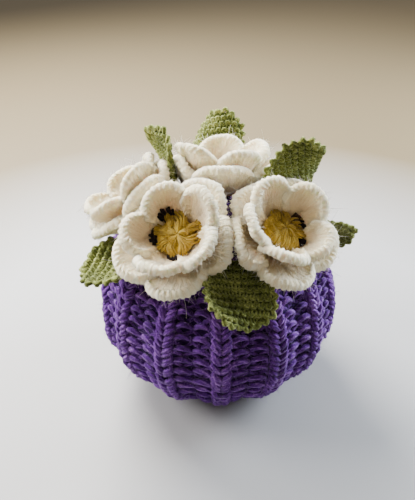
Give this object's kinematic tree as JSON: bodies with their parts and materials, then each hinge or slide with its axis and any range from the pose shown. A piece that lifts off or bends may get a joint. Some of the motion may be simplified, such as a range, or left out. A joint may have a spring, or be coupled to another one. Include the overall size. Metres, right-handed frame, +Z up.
{
  "type": "tea cosy",
  "caption": "Ribbed knitted tea cosy in two sewn panels, open at the sides for spout and handle, with crocheted flowers and knitted leaves on top.",
  "frame": {"origin": "on the surface the cosy rests on, under the middle of its bounding box", "axes": "+Z up, -Y the front, -X the spout side, +X the handle side"},
  "size_m": [0.1825, 0.1879, 0.1816],
  "materials": {
    "purple_yarn": "matt knitted wool",
    "cream_yarn": "matt fluffy crocheted wool",
    "yellow_yarn": "matt crocheted wool",
    "green_yarn": "matt knitted wool"
  },
  "bodies": {
    "root": {"cover_front": "purple_yarn", "cover_back": "purple_yarn", "flower_a_outer_petals": "cream_yarn", "flower_a_inner_petals": "cream_yarn", "flower_b_outer_petals": "cream_yarn", "flower_b_inner_petals": "cream_yarn", "flower_c_outer_petals": "cream_yarn", "flower_c_inner_petals": "cream_yarn", "flower_d_outer_petals": "cream_yarn", "flower_d_inner_petals": "cream_yarn", "flower_a_centre": "yellow_yarn", "flower_b_centre": "yellow_yarn", "flower_c_centre": "yellow_yarn", "flower_d_centre": "yellow_yarn", "leaf_front": "green_yarn", "leaf_left": "green_yarn", "leaf_left_up": "green_yarn", "leaf_back_up": "green_yarn", "leaf_right_up": "green_yarn", "leaf_right": "green_yarn"}
  },
  "joints": []
}
